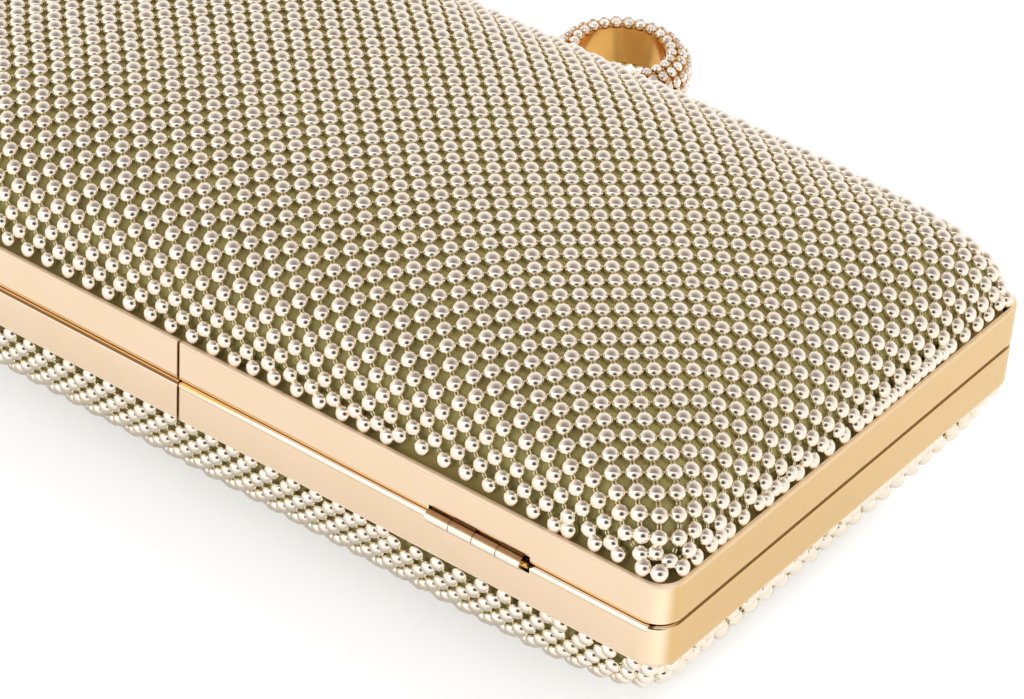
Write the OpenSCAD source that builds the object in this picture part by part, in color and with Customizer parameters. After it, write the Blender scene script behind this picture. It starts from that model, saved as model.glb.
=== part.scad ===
// Minaudiere: a hard box clutch that lies on one of its two crowned halves.
// X runs along the hinge, Y from the hinge side to the clasp side, Z up.
// The origin is the middle of the flat spot on which the box rests.

/* [Box] */
// Length along the hinge
body_l = 200; // [150:1:240]
// Width from the hinge side to the clasp side
body_w = 107; // [85:1:140]
// Outer corner radius of the frame bands, seen from above
corner_r = 4.9; // [4.4:0.1:8]
// Gap between the two frames when the box is shut
parting_gap = 0.3; // [0.2:0.05:0.6]

/* [Frame bands] */
// Height of each gold band
band_h = 8; // [7:0.1:12]
// Thickness of the band's outer wall
band_t = 0.8; // [0.7:0.05:1.2]
// Rounding of the band's outer edge at the parting line
band_round = 0.7; // [0.2:0.05:0.7]
// Rounding of the band's outer edge beside the panel
rim_round = 0.35; // [0.1:0.05:0.4]
// Thickness of the flat web at the parting line
web_t = 0.8; // [0.7:0.05:1]
// Thickness of the channel's inner wall
inner_wall_t = 0.8; // [0.6:0.05:1.2]
// Height of the channel's inner wall, from the parting face
inner_wall_h = 6.5; // [5.5:0.1:7]
// Gap of the butt seam in the middle of the hinge side
seam_gap = 0.35; // [0.1:0.05:0.4]

/* [Crowned panels] */
// Rise of the beaded crown above the band
crown_h = 24.2; // [12:0.1:28]
// Thickness of the cover, cloth and beads together
cover_t = 1.8; // [1.2:0.05:2]
// Thickness of the foam padding
padding_t = 0.4; // [0.3:0.05:0.8]
// Thickness of the hard shell
shell_t = 1; // [0.8:0.05:1.5]
// Clearance from the band's wall to the cover
cover_gap = 0.3; // [0.1:0.05:0.4]
// Clearance between glued layers
layer_gap = 0.05; // [0.03:0.01:0.1]
// Height of the layers' lower edge above the web
skirt_lift = 2.3; // [2.1:0.05:2.6]
// Depth of the flat spot that the box rests on
rest_cut = 0.5; // [0.3:0.05:0.7]
// Pitch of the solid's bead rows, coarser than the real ones
bead_pitch = 4.1; // [3.4:0.1:8]
// Height of the solid's beads over the cloth
bead_h = 0.8; // [0.5:0.05:0.9]

/* [Lining] */
// Thickness of the lined tray
lining_t = 0.8; // [0.5:0.05:1.2]
// Clearance from the tray to the frame
lining_gap = 0.15; // [0.1:0.05:0.3]
// Clearance from the tray's floor to the shell
lining_float = 0.5; // [0.4:0.05:1.5]
// Step from the parting face down to the tray's rim
lining_step = 0.2; // [0.1:0.05:0.6]
// Length of the slip pocket
pocket_l = 80; // [50:1:84]
// Width of the slip pocket
pocket_w = 38; // [25:1:40]
// Thickness of the pocket's cloth
pocket_t = 0.6; // [0.4:0.05:0.9]
// Room inside the slip pocket
pocket_room = 1.2; // [0.8:0.1:3]

/* [Hinges] */
// Distance from each end of the box to its barrel
hinge_end = 27.3; // [18:0.1:36]
// Length of one knuckle with its gap
knuckle_l = 4.8; // [4:0.1:6]
// Outer radius of the barrel
knuckle_r = 1.25; // [1.1:0.05:1.35]
// Gap between two knuckles
knuckle_gap = 0.15; // [0.1:0.05:0.3]
// Distance of the hinge axis outside the band's face
axis_out = 0.25; // [0.2:0.05:0.5]
// Radius of the hinge pin
pin_r = 0.5; // [0.4:0.05:0.6]
// Running clearance round the hinge pin
pin_fit = 0.05; // [0.03:0.01:0.08]
// Length of pin that shows past the last knuckle
pin_end = 0.9; // [0.4:0.1:1.2]
// Thickness of the hinge leaf
leaf_t = 0.6; // [0.5:0.05:0.7]
// Clearance round the barrel in the bands' slot
slot_gap = 0.4; // [0.35:0.05:0.8]

/* [Rivets and splices] */
// Radius of a rivet's shank
rivet_r = 0.6; // [0.4:0.05:0.8]
// Radius of a rivet's head
rivet_head_r = 0.95; // [0.9:0.05:1.1]
// Height of a rivet's head
rivet_head_h = 0.5; // [0.3:0.05:0.6]
// Clearance round a rivet's shank
rivet_fit = 0.02; // [0.01:0.01:0.05]
// Length of the plate behind the butt seam
splice_l = 16; // [10:0.5:24]
// Thickness of the plate behind the butt seam
splice_t = 0.8; // [0.5:0.05:0.9]

/* [Magnets] */
// Length of a closing magnet
magnet_l = 12; // [6:0.5:20]
// Width of a closing magnet
magnet_w = 2.7; // [2:0.1:2.8]
// Thickness of a closing magnet
magnet_t = 1.8; // [1:0.1:2]
// Distance of each magnet from the middle
magnet_x = 30; // [15:1:60]

/* [Finger ring] */
// Radius of the ring's bore
ring_bore_r = 8.2; // [7.5:0.1:10]
// Radius of the round section that carries the stones
ring_section_r = 3.1; // [2.6:0.05:3.4]
// Distance from the bore to the middle of that section
ring_section_in = 1.2; // [0.8:0.05:1.6]
// Height of the straight middle of that section
ring_straight = 1.8; // [0.5:0.1:2.2]
// Clear distance from the band to the ring's metal
ring_reach = 6; // [5:0.1:9]
// Radius of one clear stone
stone_r = 0.95; // [0.7:0.05:1]
// Height of one clear stone
stone_h = 1; // [0.7:0.05:1.2]
// Pitch of the stones along a row
stone_pitch = 2.25; // [2.1:0.05:2.8]
// Radius of the post
post_r = 1.8; // [1.4:0.05:2.2]
// Radius of the post's spigot in the ring
spigot_r = 1.2; // [0.8:0.05:1.3]
// Depth of the spigot's hole in the ring
spigot_l = 2.4; // [1.5:0.1:2.8]
// Length of the post's foot along the band
foot_l = 10; // [9:0.5:14]
// Thickness of the post's foot
foot_t = 1; // [0.7:0.05:1.4]
// Distance of each foot rivet from the post's axis
foot_rivet_x = 3.6; // [3.4:0.1:5]

/* [Hidden] */

gold = "#ecc48f";
deep_gold = "#d09a52";
silver = "#d2d0c8";
satin = "#3a3430";
card = "#8b7a5c";
foam = "#e6dfc8";
steel = "#9a9a9c";
glass = "#efe9dd";

overrun = 1;
round_fn = 48;
small_fn = 32;

// Shape of the crown: powers of its profile and of its level lines
profile_power = 2.6;
height_power = 2.9;
middle_power = 3.8;
power_rate = 16.8;
corner_cut_share = 1 - sqrt(0.5);
rim_power = ln(0.5) / ln(1 - corner_cut_share * corner_r / (body_w / 2));

// Points round each level line, and level lines up the crown
cover_sides = 48;
cover_rings = 9;
arc_steps = 60;
level_turns = 16;
lining_sides = 32;
lining_rings = 5;
lining_floor_share = 0.92;
ring_spread = 1.4;

// Heights from the middle of the parting gap
face_z = parting_gap / 2;
web_top = face_z + web_t;
band_top = face_z + band_h;
skirt_z = web_top + skirt_lift;
parting_z = crown_h - rest_cut + band_top;

// The layers from the outside in
cover_inset = band_t + cover_gap;
padding_inset = cover_inset + cover_t + layer_gap;
padding_rise = crown_h - cover_t - layer_gap;
shell_inset = padding_inset + padding_t + layer_gap;
shell_rise = padding_rise - padding_t - layer_gap;
inner_wall_inset = shell_inset + shell_t + layer_gap;
web_w = inner_wall_inset + inner_wall_t;
lining_inset = web_w + lining_gap;
lining_rise = shell_rise - shell_t - lining_float;

// The beaded lattice: how far along the crown's arc each row lies, for bead tops and for the cloth
arcs = [for (sink = [0, bead_h], half = [half_size(cover_inset + sink)])
    [for (reach = [half.x, half.y]) arc_table(arc_points(reach, crown_h - sink))]];
lattice = [for (table = arcs[0]) round(arc_length(table) / bead_pitch)];
lattice_row = 2 * lattice.y + 1;

// The channel in which plates, leaves and magnets lie
channel_mid = (band_t + inner_wall_inset) / 2;
channel_w = inner_wall_inset - band_t;
plate_w = channel_w - 2 * layer_gap;
plate_z = web_top + layer_gap;
swept_w = corner_r - corner_r / 5;

// Hinge
knuckles = 4;
barrel_l = knuckles * knuckle_l;
hinge_x = body_l / 2 - hinge_end - barrel_l;
axis_y = -body_w / 2 - axis_out;
slot_l = barrel_l + pin_end + 2 * knuckle_gap;
slot_in = knuckle_r - axis_out + slot_gap;
slot_h = knuckle_r + slot_gap;
arm_drop = leaf_t + plate_z - knuckle_r / 2;
leaf_edge = band_t - knuckle_gap;
leaf_w = inner_wall_inset - layer_gap - leaf_edge;
leaf_rivet_count = 3;
splice_rivet_x = splice_l / 3;

// Finger ring
section_at = ring_bore_r + ring_section_in;
ring_metal_r = section_at + ring_section_r;
ring_y = body_w / 2 + ring_reach + ring_metal_r;
ring_z = face_z + band_h / 2;
foot_z = ring_z - band_h / 2 + band_round;
foot_h = band_h - band_round - rim_round;
foot_rivet_z = web_top + rivet_head_r + layer_gap;
stone_seat = ring_section_r + layer_gap;
row_tilts = [-93, -57, -21, 0, 21, 57, 93];
open_tilt = 45;
stone_share = 0.6;

// Places each half: a half is drawn with the parting gap's middle at zero
module upper() {
    translate([0, 0, parting_z]) children();
}

module lower() {
    translate([0, 0, parting_z]) mirror([0, 0, 1]) children();
}

module left() {
    mirror([1, 0, 0]) children();
}

// Crown: level lines that turn from a rounded oblong at the rim to a soft oval on top
function square_point(i, sides) =
    let (across = sides / 4,
        w = sin(180 * (i % across) / across - 90))
    [[1, w], [-w, 1], [-1, -w], [w, -1]][floor(i / across)];

function level_point(i, sides, s, half) =
    let (p = square_point(i, sides),
        power = middle_power + (rim_power - middle_power) * pow(s, power_rate),
        reach = pow(pow(abs(p.x), power) + pow(abs(p.y), power), -1 / power))
    [s * reach * p.x * half.x, s * reach * p.y * half.y];

function half_size(inset) = [body_l / 2 - inset, body_w / 2 - inset];

function rim_outline(inset) =
    [for (i = [0:cover_sides - 1]) level_point(i, cover_sides, 1, half_size(inset))];

function skin_points(inset, rise, share, foot, sides, rings, last) = concat(
    [for (p = [for (i = [0:sides - 1]) level_point(i, sides, 1, half_size(inset))]) [p.x, p.y, foot]],
    [for (k = [0:rings - 1], i = [0:sides - 1])
        let (angle = last * pow(k / (rings - 1), ring_spread),
            p = level_point(i, sides, pow(cos(angle), 2 / profile_power), half_size(inset)))
        [p.x, p.y, band_top + rise * pow(sin(angle), 2 / height_power)]],
    [[0, 0, band_top + rise * share]]
);

module crowned_layer(inset, thick, rise, share, foot, sides, rings, last) {
    outer = skin_points(inset, rise, share, foot, sides, rings, last);
    inner = skin_points(inset + thick, rise - thick, share, foot, sides, rings, last);
    count = len(outer);
    quads = [for (k = [0:rings - 1], i = [0:sides - 1])
        let (j = (i + 1) % sides)
        [k * sides + i, (k + 1) * sides + i, (k + 1) * sides + j, k * sides + j]];
    fan = [for (i = [0:sides - 1]) [rings * sides + i, count - 1, rings * sides + (i + 1) % sides]];
    edge = [for (i = [0:sides - 1]) [i, (i + 1) % sides, count + (i + 1) % sides, count + i]];
    polyhedron(
        points = concat(outer, inner),
        faces = concat(
            [for (q = quads) [q[0], q[1], q[2]]],
            [for (q = quads) [q[0], q[2], q[3]]],
            fan,
            [for (q = quads) [count + q[0], count + q[2], count + q[1]]],
            [for (q = quads) [count + q[0], count + q[3], count + q[2]]],
            [for (f = fan) [count + f[0], count + f[2], count + f[1]]],
            [for (e = edge) [e[0], e[1], e[2]]],
            [for (e = edge) [e[0], e[2], e[3]]]
        )
    );
}

module crowned_body(inset, rise, foot) {
    points = skin_points(inset, rise, 1, foot, cover_sides, cover_rings,
        90 * (cover_rings - 1) / cover_rings);
    top = cover_rings * cover_sides;
    polyhedron(
        points = points,
        faces = concat(
            [for (k = [0:cover_rings - 1], i = [0:cover_sides - 1])
                let (low = k * cover_sides, j = (i + 1) % cover_sides)
                [low + i, low + cover_sides + i, low + cover_sides + j]],
            [for (k = [0:cover_rings - 1], i = [0:cover_sides - 1])
                let (low = k * cover_sides, j = (i + 1) % cover_sides)
                [low + i, low + cover_sides + j, low + j]],
            [for (i = [0:cover_sides - 1]) [top + i, len(points) - 1, top + (i + 1) % cover_sides]],
            [[for (i = [0:cover_sides - 1]) i]]
        )
    );
}

// Beads: a diagonal lattice of four-sided domes, set along the crown's arc
function arc_points(half, rise) =
    [for (k = [0:arc_steps])
        let (angle = 90 * k / arc_steps)
        [half * pow(sin(angle), 2 / profile_power), rise * pow(cos(angle), 2 / height_power)]];

function arc_table(points) =
    [for (k = 0, run = 0; k < len(points);
            run = k + 1 < len(points) ? run + norm(points[k + 1] - points[k]) : run, k = k + 1)
        [run, points[k].x]];

function arc_length(table) = table[len(table) - 1][0];

function level_at(share, s, turns) =
    turns == 0 ? s :
    let (power = middle_power + (rim_power - middle_power) * pow(min(s, 1), power_rate))
    level_at(share, (s + pow(pow(share.x, power) + pow(share.y, power), 1 / power)) / 2, turns - 1);

function lattice_point(i, j) =
    let (rim = abs(i) == lattice.x || abs(j) == lattice.y,
        low = !rim && (abs(i) + abs(j)) % 2 == 1,
        sink = low ? bead_h : 0,
        half = half_size(cover_inset + sink),
        t = [abs(i) / lattice.x, abs(j) / lattice.y],
        far = max(t.x, t.y),
        p = far == 0 ? [0, 0] : t / far,
        runs = [for (k = [0, 1])
            let (table = arcs[low ? 1 : 0][k])
            lookup(far * arc_length(table), table) / (k == 0 ? half.x : half.y)],
        out = far == 0 ? 0 : (runs.x * p.x * p.x + runs.y * p.y * p.y) / (p.x * p.x + p.y * p.y),
        pull = far == 0 ? 0 : out * pow(pow(p.x, rim_power) + pow(p.y, rim_power), -1 / rim_power),
        share = pull * p,
        s = rim ? 1 : level_at(share, max(share.x, share.y), level_turns))
    [sign(i) * share.x * half.x, sign(j) * share.y * half.y,
        band_top + (crown_h - sink) * pow(1 - pow(s, profile_power), 1 / height_power)];

function lattice_index(i, j) = (i + lattice.x) * lattice_row + j + lattice.y;

module beaded_body() {
    rim = concat(
        [for (i = [-lattice.x:lattice.x - 1]) [i, -lattice.y]],
        [for (j = [-lattice.y:lattice.y - 1]) [lattice.x, j]],
        [for (i = [-lattice.x:lattice.x - 1]) [-i, lattice.y]],
        [for (j = [-lattice.y:lattice.y - 1]) [-lattice.x, -j]]
    );
    top = [for (i = [-lattice.x:lattice.x], j = [-lattice.y:lattice.y]) lattice_point(i, j)];
    foot = [for (r = rim) let (p = lattice_point(r.x, r.y)) [p.x, p.y, skirt_z]];
    count = len(top);
    polyhedron(
        points = concat(top, foot),
        faces = concat(
            [for (i = [-lattice.x:lattice.x - 1], j = [-lattice.y:lattice.y - 1], part = [0, 1])
                let (a = lattice_index(i, j), b = lattice_index(i + 1, j),
                    c = lattice_index(i + 1, j + 1), d = lattice_index(i, j + 1))
                (abs(i) + abs(j)) % 2 == 0
                    ? (part == 0 ? [a, d, b] : [b, d, c])
                    : (part == 0 ? [a, c, b] : [a, d, c])],
            [for (k = [0:len(rim) - 1], part = [0, 1])
                let (n = (k + 1) % len(rim),
                    a = lattice_index(rim[k].x, rim[k].y), b = lattice_index(rim[n].x, rim[n].y))
                part == 0 ? [a, b, count + n] : [a, count + n, count + k]],
            [[for (k = [0:len(rim) - 1]) count + k]]
        )
    );
}

module panel_layer(inset, thick, rise) {
    crowned_layer(inset, thick, rise, 1, skirt_z, cover_sides, cover_rings,
        90 * (cover_rings - 1) / cover_rings);
}

module cover() {
    difference() {
        beaded_body();
        crowned_body(cover_inset + cover_t, crown_h - cover_t, skirt_z - overrun);
    }
}

module padding() {
    panel_layer(padding_inset, padding_t, padding_rise);
}

module shell() {
    panel_layer(shell_inset, shell_t, shell_rise);
}

module lining() {
    crowned_layer(lining_inset, lining_t, lining_rise, lining_floor_share,
        face_z + lining_step, lining_sides, lining_rings,
        asin(pow(lining_floor_share, height_power / 2)));
}

module pocket() {
    floor_z = band_top + (lining_rise - lining_t) * lining_floor_share - layer_gap;
    depth = pocket_room + pocket_t;
    translate([0, 0, floor_z - depth]) difference() {
        translate([-pocket_l / 2, -pocket_w / 2, 0]) cube([pocket_l, pocket_w, depth]);
        translate([-pocket_l / 2 + pocket_t, -pocket_w / 2 + pocket_t, pocket_t])
            cube([pocket_l - 2 * pocket_t, pocket_w, pocket_room + overrun]);
    }
}

// Frame: a bent channel strip with its butt seam on the hinge side
module corner_cut(r) {
    difference() {
        translate([-overrun, -overrun]) square(r + overrun);
        translate([r, r]) circle(r, $fn = small_fn);
    }
}

module band_profile() {
    difference() {
        square([swept_w, band_h]);
        translate([band_t, web_t]) square([swept_w, band_h]);
        corner_cut(band_round);
        translate([0, band_h]) mirror([0, 1]) corner_cut(rim_round);
    }
}

module rounded_plate(inset) {
    r = corner_r - inset;
    half = half_size(inset);
    square([2 * half.x - 2 * r, 2 * half.y], center = true);
    square([2 * half.x, 2 * half.y - 2 * r], center = true);
    for (x = [-1, 1], y = [-1, 1])
        translate([x * (half.x - r), y * (half.y - r)]) circle(r, $fn = round_fn);
}

module swept_band() {
    for (turn = [0:3]) {
        along = (turn % 2 == 0 ? body_l : body_w) / 2 - corner_r;
        across = (turn % 2 == 0 ? body_w : body_l) / 2;
        rotate([0, 0, 90 * turn]) {
            translate([-along, -across, 0]) rotate([90, 0, 90])
                linear_extrude(2 * along) band_profile();
            translate([along, -across + corner_r, 0]) rotate([0, 0, -90])
                rotate_extrude(angle = 90, $fn = round_fn)
                translate([corner_r, 0]) mirror([1, 0]) band_profile();
        }
    }
}

module on_channel(x) {
    translate([x, -body_w / 2 + channel_mid, 0]) children();
}

module leaf_rivet_places() {
    for (k = [0:leaf_rivet_count - 1])
        on_channel(hinge_x + (k + 1 / 2) * barrel_l / leaf_rivet_count) children();
}

module both_leaf_rivet_places() {
    leaf_rivet_places() children();
    left() leaf_rivet_places() children();
}

module splice_rivet_places() {
    for (x = [-1, 1]) on_channel(x * splice_rivet_x) children();
}

module rivet_hole() {
    cylinder(r = rivet_r + rivet_fit, h = 2 * band_h, center = true, $fn = small_fn);
}

module rivet(grip) {
    translate([0, 0, face_z]) cylinder(r = rivet_r, h = grip + rivet_head_h / 2, $fn = small_fn);
    translate([0, 0, face_z + grip]) cylinder(r = rivet_head_r, h = rivet_head_h, $fn = small_fn);
}

module hinge_slot() {
    translate([hinge_x - knuckle_gap, -body_w / 2 - overrun, face_z - overrun])
        cube([slot_l, slot_in + overrun, slot_h - face_z + overrun]);
}

module frame() {
    difference() {
        union() {
            translate([0, 0, face_z]) swept_band();
            translate([0, 0, face_z]) linear_extrude(web_t) difference() {
                rounded_plate(swept_w / 2);
                polygon(rim_outline(web_w));
            }
            translate([0, 0, face_z]) linear_extrude(inner_wall_h) difference() {
                polygon(rim_outline(inner_wall_inset));
                polygon(rim_outline(web_w));
            }
        }
        translate([-seam_gap / 2, -body_w / 2 - overrun, 0])
            cube([seam_gap, web_w + 2 * overrun, band_top + overrun]);
        hinge_slot();
        left() hinge_slot();
        both_leaf_rivet_places() rivet_hole();
        splice_rivet_places() rivet_hole();
    }
}

module foot_rivet_places() {
    for (x = [-1, 1])
        translate([x * foot_rivet_x, body_w / 2, foot_rivet_z]) rotate([-90, 0, 0]) children();
}

module frame_with_ring_holes() {
    difference() {
        frame();
        foot_rivet_places() rivet_hole();
    }
}

module splice_plate() {
    difference() {
        on_channel(0) translate([-splice_l / 2, -plate_w / 2, plate_z])
            cube([splice_l, plate_w, splice_t]);
        splice_rivet_places() rivet_hole();
    }
}

module splice_rivets() {
    splice_rivet_places() rivet(plate_z + splice_t + layer_gap - face_z);
}

module leaf_rivets() {
    both_leaf_rivet_places() rivet(plate_z + leaf_t + layer_gap - face_z);
}

module magnets() {
    for (x = [-1, 1])
        translate([x * magnet_x - magnet_l / 2, body_w / 2 - channel_mid - magnet_w / 2, plate_z])
            cube([magnet_l, magnet_w, magnet_t]);
}

// Hinge leaf: knuckles from the first one named, joined by arms to a plate on the web
module hinge_leaf(first) {
    difference() {
        union() {
            for (k = [first:2:knuckles - 1]) {
                translate([hinge_x + k * knuckle_l + knuckle_gap / 2, 0, 0]) {
                    translate([0, axis_y, 0]) rotate([0, 90, 0])
                        cylinder(r = knuckle_r, h = knuckle_l - knuckle_gap, $fn = round_fn);
                    translate([0, axis_y, plate_z + leaf_t - arm_drop])
                        cube([knuckle_l - knuckle_gap, axis_out + band_t, arm_drop]);
                }
            }
            translate([hinge_x, -body_w / 2 + leaf_edge, plate_z]) cube([barrel_l, leaf_w, leaf_t]);
        }
        translate([hinge_x - overrun, axis_y, 0]) rotate([0, 90, 0])
            cylinder(r = pin_r + pin_fit, h = barrel_l + 2 * overrun, $fn = round_fn);
        leaf_rivet_places() rivet_hole();
    }
}

module hinge_pin() {
    translate([hinge_x, axis_y, 0]) rotate([0, 90, 0])
        cylinder(r = pin_r, h = barrel_l + pin_end, $fn = round_fn);
}

// Finger ring: its axis stands up, its bore is on the clasp side
module ring_section() {
    difference() {
        union() {
            for (rise = [-ring_straight / 2, ring_straight / 2])
                translate([section_at, rise]) circle(ring_section_r, $fn = round_fn);
            translate([ring_bore_r, -ring_straight / 2])
                square([ring_metal_r - ring_bore_r, ring_straight]);
        }
        translate([0, -ring_metal_r]) square([ring_bore_r, 2 * ring_metal_r]);
    }
}

module ring_metal() {
    translate([0, ring_y, ring_z]) difference() {
        rotate_extrude($fn = round_fn) ring_section();
        translate([0, -ring_metal_r + spigot_l, 0]) rotate([90, 0, 0])
            cylinder(r = spigot_r + rivet_fit, h = spigot_l + overrun, $fn = small_fn);
    }
}

module stone() {
    cylinder(r = stone_r, h = stone_h * stone_share, $fn = small_fn);
    translate([0, 0, stone_h * stone_share])
        cylinder(r1 = stone_r, r2 = stone_r * stone_share, h = stone_h * (1 - stone_share), $fn = small_fn);
}

module stones() {
    for (tilt = row_tilts) {
        row_r = section_at + stone_seat * cos(tilt);
        count = floor(360 / 2 / asin(stone_pitch / 2 / row_r));
        for (i = [0:count - 1]) {
            turn = 360 * (i + 1 / 2) / count;
            near_post = row_r * abs(sin(turn / 2)) * 2 < post_r + stone_r + layer_gap;
            if (!near_post || abs(tilt) > open_tilt)
                translate([0, ring_y, ring_z]) rotate([0, 0, turn - 90])
                    translate([section_at, 0, sign(tilt) * ring_straight / 2]) rotate([0, 90 - tilt, 0])
                    translate([0, 0, stone_seat]) stone();
        }
    }
}

module post() {
    difference() {
        union() {
            translate([-foot_l / 2, body_w / 2 + layer_gap, foot_z]) cube([foot_l, foot_t, foot_h]);
            translate([0, body_w / 2 + layer_gap, ring_z]) rotate([-90, 0, 0])
                cylinder(r = post_r, h = ring_reach - 2 * layer_gap, $fn = small_fn);
            translate([0, body_w / 2 + layer_gap, ring_z]) rotate([-90, 0, 0])
                cylinder(r = spigot_r, h = ring_reach + spigot_l - 2 * layer_gap, $fn = small_fn);
        }
        foot_rivet_places() rivet_hole();
    }
}

module foot_rivets() {
    shank = band_t + foot_t + 2 * layer_gap;
    foot_rivet_places() translate([0, 0, -band_t - layer_gap]) {
        cylinder(r = rivet_r, h = shank + rivet_head_h / 2, $fn = small_fn);
        translate([0, 0, -rivet_head_h]) cylinder(r = rivet_head_r, h = rivet_head_h, $fn = small_fn);
        translate([0, 0, shank + layer_gap])
            cylinder(r1 = rivet_head_r, r2 = rivet_r, h = rivet_head_h, $fn = small_fn);
    }
}

module lower_frame() {
    color(gold) lower() frame();
}

module upper_frame() {
    color(gold) upper() frame_with_ring_holes();
}

module lower_shell() {
    color(card) lower() shell();
}

module upper_shell() {
    color(card) upper() shell();
}

module lower_padding() {
    color(foam) lower() padding();
}

module upper_padding() {
    color(foam) upper() padding();
}

module lower_cover() {
    color(silver) difference() {
        lower() cover();
        translate([-body_l, -body_w, -crown_h]) cube([2 * body_l, 2 * body_w, crown_h]);
    }
}

module upper_cover() {
    color(silver) upper() cover();
}

module lower_lining() {
    color(satin) lower() lining();
}

module upper_lining() {
    color(satin) upper() lining();
}

module slip_pocket() {
    color(satin) upper() pocket();
}

module right_hinge_lower_leaf() {
    color(gold) lower() hinge_leaf(0);
}

module right_hinge_upper_leaf() {
    color(gold) upper() hinge_leaf(1);
}

module right_hinge_pin() {
    color(deep_gold) lower() hinge_pin();
}

module left_hinge_lower_leaf() {
    color(gold) lower() left() hinge_leaf(0);
}

module left_hinge_upper_leaf() {
    color(gold) upper() left() hinge_leaf(1);
}

module left_hinge_pin() {
    color(deep_gold) lower() left() hinge_pin();
}

module lower_leaf_rivets() {
    color(deep_gold) lower() leaf_rivets();
}

module upper_leaf_rivets() {
    color(deep_gold) upper() leaf_rivets();
}

module lower_splice_plate() {
    color(steel) lower() splice_plate();
}

module upper_splice_plate() {
    color(steel) upper() splice_plate();
}

module lower_splice_rivets() {
    color(deep_gold) lower() splice_rivets();
}

module upper_splice_rivets() {
    color(deep_gold) upper() splice_rivets();
}

module lower_magnets() {
    color(steel) lower() magnets();
}

module upper_magnets() {
    color(steel) upper() magnets();
}

module ring_band() {
    color(deep_gold) upper() ring_metal();
}

module ring_stones() {
    color(glass) upper() stones();
}

module ring_post() {
    color(gold) upper() post();
}

module ring_rivets() {
    color(deep_gold) upper() foot_rivets();
}

lower_frame();
upper_frame();
lower_shell();
upper_shell();
lower_padding();
upper_padding();
lower_cover();
upper_cover();
lower_lining();
upper_lining();
slip_pocket();
right_hinge_lower_leaf();
right_hinge_upper_leaf();
right_hinge_pin();
left_hinge_lower_leaf();
left_hinge_upper_leaf();
left_hinge_pin();
lower_leaf_rivets();
upper_leaf_rivets();
lower_splice_plate();
upper_splice_plate();
lower_splice_rivets();
upper_splice_rivets();
lower_magnets();
upper_magnets();
ring_band();
ring_stones();
ring_post();
ring_rivets();
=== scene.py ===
# Minaudiere: a beaded box clutch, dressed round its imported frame
from math import asin, cos, floor, pi, radians, sin, tau

import bpy
import numpy as np
from mathutils import Matrix, Vector


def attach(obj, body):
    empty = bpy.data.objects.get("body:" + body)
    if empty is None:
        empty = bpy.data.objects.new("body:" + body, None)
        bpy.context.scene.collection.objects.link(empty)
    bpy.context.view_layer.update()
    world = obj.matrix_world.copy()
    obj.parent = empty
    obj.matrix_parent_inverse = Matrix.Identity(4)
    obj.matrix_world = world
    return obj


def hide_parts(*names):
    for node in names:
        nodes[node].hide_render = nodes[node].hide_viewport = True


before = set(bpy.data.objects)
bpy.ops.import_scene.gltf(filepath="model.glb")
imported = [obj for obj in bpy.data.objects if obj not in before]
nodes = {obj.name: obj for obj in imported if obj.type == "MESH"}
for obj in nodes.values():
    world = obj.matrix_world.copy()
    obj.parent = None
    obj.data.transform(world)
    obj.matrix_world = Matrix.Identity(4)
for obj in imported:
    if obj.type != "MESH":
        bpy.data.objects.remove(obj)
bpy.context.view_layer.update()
print("frame loaded,", len(nodes), "nodes")


class Wire:
    # one socket, so that shader maths reads as plain expressions
    def __init__(self, tree, socket):
        self.tree, self.socket = tree, socket

    def maths(self, operation, *parts, clamp=False):
        node = self.tree.nodes.new("ShaderNodeMath")
        node.operation, node.use_clamp = operation, clamp
        for place, part in enumerate(parts):
            plug(self.tree, node.inputs[place], part)
        return Wire(self.tree, node.outputs[0])

    def __add__(self, other):
        return self.maths("ADD", self, other)

    def __radd__(self, other):
        return self.maths("ADD", other, self)

    def __sub__(self, other):
        return self.maths("SUBTRACT", self, other)

    def __rsub__(self, other):
        return self.maths("SUBTRACT", other, self)

    def __mul__(self, other):
        return self.maths("MULTIPLY", self, other)

    def __rmul__(self, other):
        return self.maths("MULTIPLY", other, self)

    def __abs__(self):
        return self.maths("ABSOLUTE", self)

    def between(self, low, high):  # 0 up to low and 1 from high on, also where low is the larger
        return self.maths("MULTIPLY", self - low, 1 / (high - low), clamp=True)

    def inside(self, low, high, soft):  # 1 from low to high, with soft edges
        return self.between(low - soft, low + soft) * self.between(high + soft, high - soft)


def plug(tree, socket, value):
    if isinstance(value, Wire):
        tree.links.new(value.socket, socket)
    else:
        socket.default_value = value


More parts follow.
